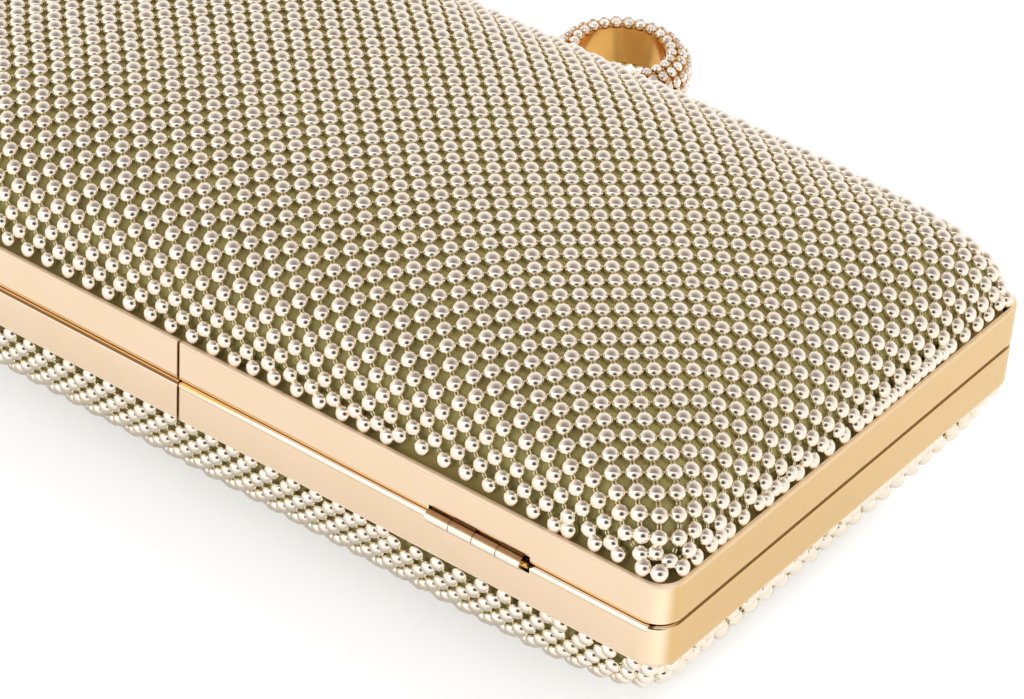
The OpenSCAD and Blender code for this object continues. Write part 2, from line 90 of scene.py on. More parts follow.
class Finish:
    # a material, or the world, built from nodes
    def __init__(self, name, world=None):
        self.block = world or bpy.data.materials.new(name)
        self.block.use_nodes = True
        self.tree = self.block.node_tree
        self.tree.nodes.clear()

    def add(self, kind, settings=None, sockets=None, out=0):
        node = self.tree.nodes.new("ShaderNode" + kind)
        for key, value in (settings or {}).items():
            setattr(node, key, value)
        for key, value in (sockets or {}).items():
            plug(self.tree, node.inputs[key], value)
        return Wire(self.tree, node.outputs[out]) if node.outputs else None

    def place(self, scale=1000.0):  # the surface's own place, in millimetres
        return self.add("VectorMath", {"operation": "SCALE"},
                        {0: self.add("TexCoord", out="Object"), "Scale": scale})

    def stretch(self, vector, scales):
        return self.add("VectorMath", {"operation": "MULTIPLY"}, {0: vector, 1: scales})

    def off(self, place, axis, middle=0.0):  # how far along one axis, from a plane given in metres
        return self.add("SeparateXYZ", None, {0: place}, out=axis) - middle * 1000

    def noise(self, vector, scale, detail=2.0, rough=0.5):
        return self.add("TexNoise", None,
                        {"Vector": vector, "Scale": scale, "Detail": detail, "Roughness": rough})

    def threads(self, vector, direction, scale, distortion):
        return self.add("TexWave", {"wave_type": "BANDS", "bands_direction": direction},
                        {"Vector": vector, "Scale": scale, "Distortion": distortion})

    def blend(self, factor, first, second):
        return self.add("Mix", {"data_type": "RGBA"}, {0: factor, 6: solid(first), 7: solid(second)}, out=2)

    def bump(self, height, strength, distance, normal=None):
        sockets = {"Height": height, "Strength": strength, "Distance": distance}
        if normal:
            sockets["Normal"] = normal
        return self.add("Bump", None, sockets)

    def surface(self, **sockets):
        named = {"baseColor": "Base Color", "coatWeight": "Coat Weight", "sheenWeight": "Sheen Weight",
                 "sheenRoughness": "Sheen Roughness", "specular": "Specular IOR Level",
                 "emissionColor": "Emission Color", "emissionStrength": "Emission Strength"}
        wires = {named.get(key, key.capitalize()): solid(value) if key == "baseColor" else value
                 for key, value in sockets.items()}
        shader = self.add("BsdfPrincipled", None, wires)
        self.add("OutputMaterial", None, {"Surface": shader})
        return self.block


def solid(colour):
    return colour if isinstance(colour, Wire) else (*colour[:3], 1.0)


def toned(colour, share):
    return [v * share for v in colour]


def bulk(name, points, faces, smooth=True):  # a mesh object from arrays
    mesh = bpy.data.meshes.new(name)
    mesh.from_pydata(np.asarray(points).tolist(), [], faces)
    mesh.validate()
    mesh.polygons.foreach_set("use_smooth", [smooth] * len(mesh.polygons))
    mesh.update()
    piece = bpy.data.objects.new(name, mesh)
    bpy.context.scene.collection.objects.link(piece)
    return piece


def dress(piece, body, material):  # gives a piece its finish, its body and its slot
    piece.data.materials.append(material)
    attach(piece, body)
    return piece


def paintNode(name, material):  # a CAD node keeps its mesh and gets a finer finish
    for place in nodes[name].material_slots:
        place.material = material


# Camera: where the photograph was taken from, with its long lens
shot = {"place": (0.3445, -0.4489, 0.4183), "azimuth": 35.015, "elevation": 35.729, "roll": 3.962,
        "lens": 136.6, "sensor": 36.0, "nearest": 0.02, "furthest": 20.0}


def fromAngles(azimuth, elevation):  # azimuth 0 is in front of the hinge side
    az, el = radians(azimuth), radians(elevation)
    return Vector((sin(az) * cos(el), -cos(az) * cos(el), sin(el)))


def makeCamera():
    back, roll = fromAngles(shot["azimuth"], shot["elevation"]), radians(shot["roll"])
    across = Vector((0, 0, 1)).cross(back).normalized()
    up = back.cross(across)
    across, up = across * cos(roll) + up * sin(roll), up * cos(roll) - across * sin(roll)
    data = bpy.data.cameras.new("camera")
    data.lens, data.sensor_width = shot["lens"], shot["sensor"]
    data.clip_start, data.clip_end = shot["nearest"], shot["furthest"]
    camera = bpy.data.objects.new("camera", data)
    camera.matrix_world = Matrix((across, up, back)).transposed().to_4x4()
    camera.location = shot["place"]
    bpy.context.scene.collection.objects.link(camera)
    bpy.context.scene.camera = camera


# Studio: white all round, with a mauve ceiling, a bright panel in front and a dark stand by the camera
studio = {"white": 1.0, "ceiling": (0.34, 0.28, 0.29), "ceilingHeight": 140.0, "ceilingReach": (87.0, 80.0),
          "glowHeight": 68.0, "glowReach": (76.0, 22.0),
          "stand": (0.08, 0.07, 0.08), "standAzimuth": 38.0, "standHeight": 17.0, "standReach": (38.0, 13.0),
          "panel": 1.55, "panelAzimuth": 0.0, "panelHeight": 34.0, "panelReach": (62.0, 34.0),
          "key": 1.5, "keySpread": 30.0, "keyFrom": (0.5, 0.6, 1.4),
          "floorSize": 4.0, "floorColour": (0.91, 0.925, 0.94), "floorPatches": 3.0, "floorFade": 0.985,
          "floorRoughness": 0.9, "floorLift": 0.49, "mirrorLift": 0.08}


def makeWorld():
    world = bpy.data.worlds.new("studio")
    bpy.context.scene.world = world
    w = Finish("studio", world)
    way = w.add("TexCoord", out="Generated")

    def patch(name, azimuth):  # 1 inside a soft round patch of the surroundings
        middle = tuple(fromAngles(azimuth, studio[name + "Height"]))
        near = w.add("VectorMath", {"operation": "DOT_PRODUCT"}, {0: way, 1: middle}, out="Value")
        return near.between(*[cos(radians(angle)) for angle in studio[name + "Reach"]])

    ceiling = patch("ceiling", shot["azimuth"]) * patch("glow", shot["azimuth"])
    panel = patch("panel", studio["panelAzimuth"])
    stand = patch("stand", studio["standAzimuth"])
    bright = w.blend(panel, (studio["white"],) * 3, (studio["panel"],) * 3)
    seen = w.blend(stand, w.blend(ceiling, bright, studio["ceiling"]), studio["stand"])
    shown = w.blend(w.add("LightPath", out="Is Camera Ray"), seen, (1, 1, 1))
    w.add("OutputWorld", None, {"Surface": w.add("Background", None, {"Color": shown})})


def makeKey():
    key = bpy.data.lights.new("key", "SUN")
    key.energy, key.angle = studio["key"], radians(studio["keySpread"])
    lamp = bpy.data.objects.new("key", key)
    lamp.rotation_euler = Vector(studio["keyFrom"]).to_track_quat("Z", "Y").to_euler()
    lamp.visible_glossy = False
    bpy.context.scene.collection.objects.link(lamp)


def makeFloor():
    half = studio["floorSize"] / 2
    corners = [(-half, -half, 0), (half, -half, 0), (half, half, 0), (-half, half, 0)]
    ground = bulk("floor", corners, [(0, 1, 2, 3)])
    f = Finish("floor")
    direct, mirrored, through = (f.add("LightPath", out=f"Is {kind} Ray")
                                 for kind in ("Camera", "Glossy", "Transmission"))
    shown = direct * studio["floorLift"] + (mirrored + through) * studio["mirrorLift"]
    cloudy = f.noise(f.place(1.0), studio["floorPatches"])
    tone = f.blend(cloudy, studio["floorColour"], toned(studio["floorColour"], studio["floorFade"]))
    ground.data.materials.append(f.surface(baseColor=tone, roughness=studio["floorRoughness"], specular=0.0,
                                           emissionColor=(1, 1, 1, 1), emissionStrength=shown))


bpy.context.scene.view_settings.view_transform = "Standard"
makeCamera()
makeWorld()
makeKey()
makeFloor()
print("camera and studio ready")

# Crown: the shape that the cloth, the beads and the trays share, in metres from the parting line's middle
box = {"halfLength": 0.1, "halfWidth": 0.0535, "parting": 0.03185, "bandTop": 0.00815, "cornerRadius": 0.0049,
       "profilePower": 2.6, "heightPower": 2.9, "middlePower": 3.8, "rimPower": 25.0, "powerRate": 16.8}
halves = {"upper": {"body": "lid", "sign": 1, "seed": 7}, "lower": {"body": "base", "sign": -1, "seed": 11}}


def halfSize(inset):
    return box["halfLength"] - inset, box["halfWidth"] - inset


def levelPower(s):  # corners are rounder towards the middle of the crown
    more = box["rimPower"] - box["middlePower"]
    return box["middlePower"] + more * np.minimum(s, 1.0) ** box["powerRate"]


def levelLine(s, inset, sides, high):  # a closed line round the crown, 0 at the middle to 1 at the rim
    across = sides // 4
    w = np.sin(pi * np.arange(across) / across - pi / 2)
    one = np.ones(across)
    px, py = np.concatenate([one, -w, -one, w]), np.concatenate([w, one, -w, -one])
    power = levelPower(s)
    reach = s * (abs(px) ** power + abs(py) ** power) ** (-1 / power)
    a, b = halfSize(inset)
    return np.stack([reach * px * a, reach * py * b, np.full(sides, high)], axis=1)


def skinRings(skin, offset, last, spread):  # a skin's lines from foot to top, set in by an offset
    inset, rise, sides = skin["inset"] + offset, skin["rise"] - offset, skin["sides"]
    lines = [levelLine(1.0, inset, sides, skin["foot"])]
    for k in range(skin["rings"]):
        angle = radians(last) * (k / (skin["rings"] - 1)) ** spread
        high = box["bandTop"] + rise * sin(angle) ** (2 / box["heightPower"])
        lines.append(levelLine(cos(angle) ** (2 / box["profilePower"]), inset, sides, high))
    return lines


def shellOf(outer, inner, outerTop, innerTop):  # a closed shell from two stacks of level lines
    sides, count = len(outer[0]), len(outer)
    points = np.concatenate(outer + [[(0, 0, outerTop)]] + inner + [[(0, 0, innerTop)]])
    step = count * sides + 1
    faces = []
    for k in range(count - 1):
        for i in range(sides):
            j = (i + 1) % sides
            quad = [k * sides + i, k * sides + j, (k + 1) * sides + j, (k + 1) * sides + i]
            faces += [quad, [step + q for q in reversed(quad)]]
    for i in range(sides):
        j, top = (i + 1) % sides, (count - 1) * sides
        faces += [[top + i, top + j, count * sides], [step + top + j, step + top + i, step + count * sides],
                  [j, i, step + i, step + j]]
    return points, faces


def halfPiece(half, name, shape, material):  # a half's shape, brought to the shared frame
    sign, body = halves[half]["sign"], halves[half]["body"]
    points, faces = np.array(shape[0], float), shape[1]
    points[:, 2] = box["parting"] + sign * points[:, 2]
    if sign < 0:
        faces = [list(reversed(face)) for face in faces]
    return dress(bulk(name, points, faces), body, material)


# Bead net: a lattice of linked beads, laid flat and then relaxed over the crown
net = {"column": 0.0023237, "row": 0.0023763, "lean": -0.0000961, "tilt": -0.0000392,
       "startX": -0.00057, "startY": -0.00022, "inset": 0.00235, "rise": 0.02305, "shear": 0.06,
       "touch": 0.0030, "turns": 320, "ease": 0.9, "spare": 4, "gridStep": 0.0005, "gridReach": 0.014,
       "gridTurns": 60, "arcSteps": 3001, "arcSpread": 2.5}


def levelField():  # how far out each place is, from 0 at the middle to 1 at the rim
    a, b = halfSize(net["inset"])
    more, step = net["gridReach"], net["gridStep"]
    xs, ys = (np.arange(-half - more, half + more, step) for half in (a, b))
    gx, gy = np.meshgrid(np.maximum(abs(xs) / a, 1e-6), np.maximum(abs(ys) / b, 1e-6), indexing="ij")
    big = np.maximum(gx, gy)
    s = big.copy()
    for turn in range(net["gridTurns"]):
        power = levelPower(s)
        s = (s + big * ((gx / big) ** power + (gy / big) ** power) ** (1 / power)) / 2
    return xs[0], ys[0], s, np.gradient(s, step, axis=0), np.gradient(s, step, axis=1)


def readField(field, x, y):
    u, v = (x - field[0]) / net["gridStep"], (y - field[1]) / net["gridStep"]
    i = np.clip(u.astype(int), 0, field[2].shape[0] - 2)
    j = np.clip(v.astype(int), 0, field[2].shape[1] - 2)
    u, v = np.clip(u - i, 0, 1), np.clip(v - j, 0, 1)
    return [(g[i, j] * (1 - u) + g[i + 1, j] * u) * (1 - v)
            + (g[i, j + 1] * (1 - u) + g[i + 1, j + 1] * u) * v for g in field[2:]]


def steepest(field, points):  # how far off the crown each point is, and the way back
    s, sx, sy = readField(field, points[:, 0], points[:, 1])
    high = np.maximum(points[:, 2] - box["bandTop"], 0) / net["rise"]
    n, m = box["profilePower"], box["heightPower"]
    outward, upward = n * s ** (n - 1), m * high ** (m - 1) / net["rise"]
    return s ** n + high ** m - 1, np.stack([outward * sx, outward * sy, upward], axis=1)


def onto(field, points, turns=1):
    for turn in range(turns):
        off, slope = steepest(field, points)
        points = points - slope * (off / np.maximum((slope * slope).sum(1), 1e-9))[:, None]
    return points


def crownHeight(s):
    return net["rise"] * (1 - s ** box["profilePower"]) ** (1 / box["heightPower"])


def arcTable(half):  # distance along the cloth from the middle, against distance across
    s = 1 - np.linspace(1, 0, net["arcSteps"]) ** net["arcSpread"]
    x, z = half * s, crownHeight(s)
    return x, np.r_[0, np.cumsum(np.hypot(np.diff(x), np.diff(z)))]


def layNet():
    field = levelField()
    (xa, la), (yb, lb) = (arcTable(half) for half in halfSize(net["inset"]))
    nu, nv = int(la[-1] / net["column"]) + net["spare"], int(lb[-1] / net["row"]) + net["spare"]
    u, v = np.meshgrid(np.arange(-nu, nu + 1), np.arange(-nv, nv + 1), indexing="ij")
    even = (u + v) % 2 == 0
    u, v = u[even], v[even]
    p = net["column"] * u + net["lean"] * v + net["startX"]
    q = net["row"] * v + net["tilt"] * u + net["startY"]
    x, y = np.sign(p) * np.interp(abs(p), la, xa), np.sign(q) * np.interp(abs(q), lb, yb)
    below = np.hypot(np.maximum(abs(p) - la[-1], 0), np.maximum(abs(q) - lb[-1], 0))
    high = crownHeight(np.minimum(readField(field, x, y)[0], 1))
    points = np.stack([x, y, box["bandTop"] + np.where(below > 0, -below, high)], axis=1)
    points = onto(field, points, 4)
    number = -np.ones((2 * nu + 1, 2 * nv + 1), int)
    number[u + nu, v + nv] = np.arange(len(u))
    links = []
    for du, dv in ((1, 1), (1, -1), (2, 0), (0, 2)):
        uu, vv = u + du + nu, v + dv + nv
        inside = (uu <= 2 * nu) & (vv >= 0) & (vv <= 2 * nv)
        other = np.where(inside, number[np.minimum(uu, 2 * nu), np.clip(vv, 0, 2 * nv)], -1)
        one = np.arange(len(u))[other >= 0]
        rest = np.hypot(du * net["column"] + dv * net["lean"], dv * net["row"] + du * net["tilt"])
        links.append((one, other[other >= 0], rest, 1.0 if du * dv else net["shear"]))
    for turn in range(net["turns"]):
        force, stiff = np.zeros_like(points), np.zeros(len(points))
        for one, two, rest, weight in links:
            gap = points[two] - points[one]
            length = np.maximum(np.linalg.norm(gap, axis=1), 1e-6)
            touching = (length < net["touch"]) & (weight < 1)  # beads that meet push each other off
            hold = np.where(touching, 1.0, weight)
            pull = gap * (hold * (length - np.where(touching, net["touch"], rest)) / length)[:, None]
            stiff += np.bincount(one, hold, len(u)) + np.bincount(two, hold, len(u))
            for axis in range(3):
                some = pull[:, axis]
                force[:, axis] += np.bincount(one, some, len(u)) - np.bincount(two, some, len(u))
        points = onto(field, points + net["ease"] * force / stiff[:, None])
    return onto(field, points, 3), [pairs[:2] for pairs in links[:2]], field


def unit(vectors):
    return vectors / np.maximum(np.linalg.norm(vectors, axis=1), 1e-9)[:, None]


# Each of the rim's lines has an inset, a height, a reach from each corner, and the least way to other beads
rimRow = {"lowest": 0.0010, "corner": 0.017, "around": 0.005, "least": 0.0025, "low": 0.008,
          "loose": 0.0004, "looseReach": 0.078, "step": 0.0003, "lift": 0.35,
          "lines": ((0.00155, 0.00145, 1.0, 0.0021), (0.0036, 0.0034, 0.0065, 0.0021)),
          "push": 0.0008, "pushReach": (0.0065, 0.0022)}


def rimLine(inset, height, reach):  # close-set places along the band's outline, near its corners
    r = box["cornerRadius"] - inset
    a, b = box["halfLength"] - inset - r, box["halfWidth"] - inset - r
    turns = [np.linspace(quarter, quarter + pi / 2, 12) for quarter in np.arange(4) * pi / 2]
    corners = [(a * sx + r * np.cos(turn), b * sy + r * np.sin(turn))
               for turn, (sx, sy) in zip(turns, ((1, 1), (-1, 1), (-1, -1), (1, -1)))]
    line = np.concatenate([np.stack(corner, axis=1) for corner in corners] + [np.array([[a + r, b]])])
    steps = np.r_[0, np.cumsum(np.linalg.norm(np.diff(line, axis=0), axis=1))]
    at = np.arange(0, steps[-1], rimRow["step"])
    spots = np.stack([np.interp(at, steps, line[:, 0]), np.interp(at, steps, line[:, 1])], axis=1)
    out = unit(spots - np.clip(spots, (-a, -b), (a, b)))
    near = (abs(spots) > (box["halfLength"] - reach, box["halfWidth"] - reach)).all(axis=1)
    spots, out = spots[near], out[near]
    high = np.full(len(spots), box["bandTop"] + height)
    return np.c_[spots, high], unit(np.c_[out, np.full(len(spots), rimRow["lift"])])


def thinCorners(points):  # keeps the beads above the band, and fewer where they crowd a corner
    keep = points[:, 2] > box["bandTop"] + rimRow["lowest"]
    corner, nearby = (keep & (abs(points[:, :2]) > halfSize(inset)).all(axis=1)
                      for inset in (rimRow["corner"], rimRow["corner"] + rimRow["around"]))
    taken = list(points[nearby & ~corner])
    for n in sorted(np.flatnonzero(corner), key=lambda n: -points[n, 2]):
        if np.linalg.norm(np.array(taken) - points[n], axis=1).min() < rimRow["least"]:
            keep[n] = False
        else:
            taken.append(points[n])
    return keep


def tidyRim(points, field):  # thins, swells and then fills the last rows by the band
    keep = thinCorners(points)
    far, near = (box["bandTop"] + v for v in rimRow["pushReach"])
    out = rimRow["push"] * np.clip((far - points[:, 2]) / (far - near), 0, 1)
    normals = unit(steepest(field, points)[1])
    points = points + normals * out[:, None]
    close, extra, ways = points[keep & (points[:, 2] < box["bandTop"] + rimRow["low"])], [], []
    for inset, height, reach, closest in rimRow["lines"]:
        for spot, way in zip(*rimLine(inset, height, reach)):
            loose = rimRow["loose"] if abs(spot[0]) < rimRow["looseReach"] else 0.0  # gaps on long sides
            least = rimRow["least"] + loose
            clear = not extra or np.linalg.norm(np.array(extra) - spot, axis=1).min() > least
            if clear and np.linalg.norm(close - spot, axis=1).min() > closest + loose:
                extra.append(spot)
                ways.append(way)
    return np.vstack([points, extra]), np.vstack([normals, ways]), np.r_[keep, np.ones(len(extra), bool)]


netPoints, netLinks, levels = layNet()
netPoints, netNormals, netKept = tidyRim(netPoints, levels)
print("bead net relaxed,", int(netKept.sum()), "beads a half")


# Beads: polished metal domes, one at each crossing of the net, and the links between them
bead = {"radius": 0.00153, "height": 0.00128, "segments": 16, "rings": 7, "low": 124.0,
        "shift": 0.00004, "lean": 0.03, "size": 0.015, "sizeLimit": 0.03, "press": 0.00003,
        "silver": (0.95, 0.88, 0.76), "warmSilver": (0.93, 0.83, 0.66), "single": 0.6, "patches": 1.4,
        "roughness": 0.12, "roughSwing": 0.06, "grain": 6.0, "grainShare": 0.05, "grainDepth": 0.00005}
link = {"gold": (0.90, 0.78, 0.50), "worn": 0.86, "patches": 2.5, "roughness": 0.22, "roughSwing": 0.12,
        "lift": 0.00030, "knobRadius": 0.00025, "knobHalf": 0.0000375, "barRadius": 0.00014,
        "barHalf": 0.00026, "barApart": 0.00028, "sides": 6, "endReach": 0.6, "endWidth": 0.75,
        "shoulder": 0.1}


def circle(radius, count, high, shift=0.0):
    turns = [tau * (i + shift) / count for i in range(count)]
    return [(radius * cos(turn), radius * sin(turn), high) for turn in turns]


def domeTemplate():
    points, faces, count = [(0, 0, bead["height"])], [], bead["segments"]
    for k in range(1, bead["rings"] + 1):
        polar = radians(bead["low"]) * k / bead["rings"]
        points += circle(bead["radius"] * sin(polar), count, bead["height"] * cos(polar))
    for i in range(count):
        j = (i + 1) % count
        faces.append([0, 1 + i, 1 + j])
        for k in range(bead["rings"] - 1):
            low = 1 + k * count
            faces.append([low + i, low + count + i, low + count + j, low + j])
    return np.array(points), faces


def barTemplate(radius, half):  # a short bar with rounded ends
    sides, end, shoulder = link["sides"], radius * link["endReach"], radius * link["shoulder"]
    stations = [(-half - end, link["endWidth"]), (-half + shoulder, 1.0)]
    stations += [(-along, wide) for along, wide in reversed(stations)]
    points, faces = [(-half - radius, 0, 0)], []
    for along, wide in stations:
        points += [(along, y, z) for y, z, _ in circle(radius * wide, sides, 0)]
    points.append((half + radius, 0, 0))
    last = len(points) - 1
    for i in range(sides):
        j = (i + 1) % sides
        faces += [[0, 1 + j, 1 + i], [last, last - sides + i, last - sides + j]]
        for k in range(3):
            low = 1 + k * sides
            faces.append([low + i, low + j, low + sides + j, low + sides + i])
    return np.array(points), faces


def strewn(template, centres, across, along, up, scales=None):  # many copies of one small shape in one mesh
    points, faces = template
    count, size = len(centres), len(points)
    scales = np.ones(count) if scales is None else scales
    spread = (points[None, :, 0, None] * across[:, None, :] + points[None, :, 1, None] * along[:, None, :]
              + points[None, :, 2, None] * up[:, None, :]) * scales[:, None, None]
    every = (centres[:, None, :] + spread).reshape(-1, 3)
    return every, [[n * size + corner for corner in face] for n in range(count) for face in faces]


def silverFinish():
    f = Finish("bead silver")
    single = f.add("NewGeometry", out="Random Per Island")
    place = f.place()
    cloudy = f.noise(place, bead["patches"])
    share = single * bead["single"] + cloudy * (1 - bead["single"])
    grain = f.bump(f.noise(place, bead["grain"]), bead["grainShare"], bead["grainDepth"])
    return f.surface(baseColor=f.blend(share, bead["silver"], bead["warmSilver"]), metallic=1.0,
                     roughness=bead["roughness"] + (cloudy - 0.5) * bead["roughSwing"], normal=grain)


def linkFinish():
    f = Finish("link gold")
    worn = f.noise(f.place(), link["patches"])
    return f.surface(baseColor=f.blend(worn, link["gold"], toned(link["gold"], link["worn"])), metallic=1.0,
                     roughness=link["roughness"] + worn * link["roughSwing"])


def makeBeads(half, silver):  # also gives the beads' own places to the links
    rng = np.random.default_rng(halves[half]["seed"])
    points = netPoints + rng.normal(0, bead["shift"], netPoints.shape)
    if half == "lower":  # the beads that the box rests on are pressed into the padding
        points[:, 2] = np.minimum(points[:, 2], box["parting"] - bead["height"] - bead["press"])
    lean = unit(netNormals + rng.normal(0, bead["lean"], netNormals.shape))
    across = unit(np.cross(lean, (0, 1, 0.1)))
    along = np.cross(lean, across)
    scales = 1 + rng.normal(0, bead["size"], len(points)).clip(-bead["sizeLimit"], bead["sizeLimit"])
    template = domeTemplate()
    order = np.argsort(points[:, 1])
    order = order[netKept[order]]
    for name, some in zip(("hinge_side", "middle", "clasp_side"), np.array_split(order, 3)):
        shape = strewn(template, points[some], across[some], along[some], lean[some], scales[some])
        halfPiece(half, f"{half}_beads_{name}", shape, silver)
    return points


def makeLinks(half, points, gold):  # one way a knob joins two beads, the other way a pair of bars
    knob = barTemplate(link["knobRadius"], link["knobHalf"])
    bar = barTemplate(link["barRadius"], link["barHalf"])
    kinds = ((knob, (("knobs", 0),)), (bar, (("bars_left", -1), ("bars_right", 1))))
    for (one, two), (template, rows) in zip(netLinks, kinds):
        both = netKept[one] & netKept[two]
        one, two = one[both], two[both]
        ahead, lift = unit(points[two] - points[one]), unit(netNormals[one] + netNormals[two])
        side = np.cross(lift, ahead)
        centre = (points[one] + points[two]) / 2 + lift * link["lift"]
        for name, way in rows:
            shape = strewn(template, centre + way * side * link["barApart"], ahead, side, lift)
            halfPiece(half, f"{half}_link_{name}", shape, gold)


# Cloth: olive gold, stretched over the padding, with the beads set through it
cloth = {"inset": 0.00262, "rise": 0.02268, "thick": 0.00024, "foot": 0.00325, "sides": 192, "rings": 40,
         "last": 89.0, "spread": 1.4, "cutShare": 0.86,
         "tuck": ((-0.0026, 0.0011), (-0.0019, 0.0012), (-0.0013, 0.0016), (-0.0008, 0.0021),
                  (-0.0003, 0.0025)),
         "olive": (0.37, 0.335, 0.11), "brown": (0.15, 0.105, 0.04), "rust": (0.36, 0.19, 0.08),
         "patches": 0.35, "brownRange": (0.35, 0.75), "fibres": 7.0, "rustRange": (0.55, 0.8),
         "rustShare": 0.6, "weave": 1.3, "threadShare": 0.35, "threadTone": 1.7, "threadRelief": 0.6,
         "relief": 0.00012, "roughness": 0.5, "roughSwing": 0.2, "metallic": 0.25,
         "hem": (0.42, 0.33, 0.10), "grooveShadeReach": (10.8, 8.6)}


def clothFinish():
    f = Finish("olive gold cloth")
    place = f.place()
    patchy = f.noise(place, cloth["patches"], 3.0)
    thread = f.threads(place, "DIAGONAL", cloth["weave"], 1.5)
    fine = f.noise(place, cloth["fibres"], 3.0)
    tone = f.blend(patchy.between(*cloth["brownRange"]), cloth["olive"], cloth["brown"])
    tone = f.blend(fine.between(*cloth["rustRange"]) * cloth["rustShare"], tone, cloth["rust"])
    tone = f.blend(thread * cloth["threadShare"], tone, toned(cloth["olive"], cloth["threadTone"]))
    # painted groove tone: towards the band the cloth is painted a browner olive, set for how it looks in the
    # band's shade
    hem = abs(f.off(place, 2, box["parting"])).between(*cloth["grooveShadeReach"])
    tone = f.blend(hem, tone, cloth["hem"])
    weave = thread * cloth["threadRelief"] + fine * (1 - cloth["threadRelief"])
    return f.surface(baseColor=tone, roughness=cloth["roughness"] + fine * cloth["roughSwing"],
                     metallic=cloth["metallic"], normal=f.bump(weave, 0.5, cloth["relief"]))


def makeCloth(half, material):
    t, sides, top = cloth["thick"], cloth["sides"], box["bandTop"] + cloth["rise"]
    outer, inner = (skinRings(cloth, offset, cloth["last"], cloth["spread"]) for offset in (0.0, t))
    hem, behind = [levelLine(1.0, cloth["tuck"][0][1], sides, cloth["foot"])], inner[:1]
    for high, inset in cloth["tuck"]:  # going down, the hem swells out to the band's wall
        hem.append(levelLine(1.0, inset, sides, box["bandTop"] + high))
        behind.append(levelLine(1.0, cloth["inset"] + t, sides, box["bandTop"] + high))
    shape = shellOf(hem + outer[2:], behind + inner[2:], top, top - t)
    piece = halfPiece(half, f"{half}_cloth", shape, material)
    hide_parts(f"{half}_cover")
    wall = box["bandTop"] - cloth["foot"]
    cut = [2 * arcTable(side)[1][-1] + 2 * wall for side in halfSize(cloth["inset"])]
    area = cut[0] * cut[1] * cloth["cutShare"]


silver, linkGold, oliveCloth = silverFinish(), linkFinish(), clothFinish()
for half in halves:
    makeCloth(half, oliveCloth)
    makeLinks(half, makeBeads(half, silver), linkGold)
    print(half, "cloth, beads and links in place")


# Frames, hinges and rivets: the CAD pieces, in polished plating
gold = {"pale": (0.925, 0.735, 0.525), "warm": (0.90, 0.67, 0.42), "deep": (0.86, 0.47, 0.13),
        "old": (0.50, 0.25, 0.07), "haze": 0.14, "hingeHaze": 0.2, "hazeSwing": 0.08,
        "patches": 0.08, "cloudRange": (0.3, 0.7), "cloudShare": 0.5,
        "specks": 1.6, "speckFrom": 0.72, "speckRange": 0.08, "speckTone": 0.7, "speckShare": 0.35,
        "speckHaze": 0.1, "scratches": 1.2, "scratchRun": (0.6, 0.6, 6.0), "scratchShare": 0.08,
        "scratch": 0.00002}

# The band's places are in millimetres, heights from the parting line, and a stripe is a range of heights
# Among the band's colours, the deep gold of the short ends and the orange are painted reflections, the gleam
# and the lip's cream are painted highlights, and the browns, the olive and the slot colour are painted shade;
# the seam and rim colours are the metal's own
band = {"short": (0.78, 0.53, 0.235), "seam": (0.36, 0.18, 0.06), "gleam": (1.0, 0.86, 0.58),
        "grooveReflection": (1.0, 0.58, 0.20), "rim": (1.0, 0.78, 0.54), "brown": (0.20, 0.10, 0.03),
        "lip": (1.0, 0.92, 0.78), "olive": (0.45, 0.38, 0.20), "slot": (0.10, 0.05, 0.02),
        "ends": (98.6, 99.6), "outer": (99.5, 99.7), "hingeSide": (-53.1, -53.25), "left": (0.3, -0.3),
        "corner": (96.5, 98.0), "cornerWide": (50.5, 52.0), "rimFrom": (7.45, 7.65), "rimHaze": (7.5, 7.8),
        "lipStart": -0.74, "lipRise": 1.15, "lipRun": 55.0, "lipSoft": 0.05,
        "lipFoot": (-1.05, -0.93), "lipTop": (1.01, 0.91), "brownFade": (20, 45),
        "lipEndShadow": (96.5, 96.7), "lipEndStop": (97.6, 97.2), "lipEndSide": (-51.0, -51.3),
        "slotAlong": (53.2, 74.2, 0.1), "slotDeep": (-53.35, -51.85, 0.05), "slotHigh": (1.85, 1.75),
        "seamHalf": (0.4, 0.25), "cloudShare": 0.35, "speckFrom": 0.74, "speckShare": 0.25,
        "cornerHighlightShare": 0.8, "rimFade": 0.6, "rimDull": 0.7, "rimRough": 0.3, "upperFade": 0.8,
        "oliveShare": 0.5, "stripeSoft": 0.06,
        "stripes": {"upper": (0.93, 1.05), "left": (-0.72, -0.3), "lower": (-1.25, -1.07),
                    "seam": (-1.1, 0.9), "lipEndShadow": (-0.6, 0.1), "outer": (-0.44, 0.4),
                    "outerEdge": (0.46, 0.75)}}
# The knuckles' brown is a painted darker reflection on their tops, below it the band's cream is a painted
# highlight
knuckle = {"brown": (0.58, 0.33, 0.15), "paintedReflectionFrom": (0.62, 0.82), "patches": 0.8, "roughness": 0.2,
           "slotShadeBack": (-54.0, -53.85), "slotShadeFront": (-53.0, -53.2), "slotShadeHigh": (0.8, 0.9),
           "slotShade": 0.85, "cloudRange": (0.4, 0.8), "cloudShare": 0.25, "roughSwing": 0.1}


def platingMarks(f, place, speckFrom):  # slow clouds, specks, their haze, and scratches along the metal
    cloudy = f.noise(place, gold["patches"], 3.0)
    specks = f.noise(place, gold["specks"], 6.0, 0.7).between(speckFrom, speckFrom + gold["speckRange"])
    haze = cloudy * gold["hazeSwing"] + specks * gold["speckHaze"]
    scratches = f.noise(f.stretch(place, gold["scratchRun"]), gold["scratches"], 4.0)
    scratches = f.bump(scratches, gold["scratchShare"], gold["scratch"])
    return cloudy.between(*gold["cloudRange"]), specks, haze, scratches


def goldFinish(name, main, worn, haze):
    f = Finish(name)
    clouds, specks, hazy, scratches = platingMarks(f, f.place(), gold["speckFrom"])
    tone = f.blend(clouds * gold["cloudShare"], main, worn)
    tone = f.blend(specks * gold["speckShare"], tone, toned(worn, gold["speckTone"]))
    return f.surface(baseColor=tone, metallic=1.0, roughness=haze + hazy, normal=scratches)


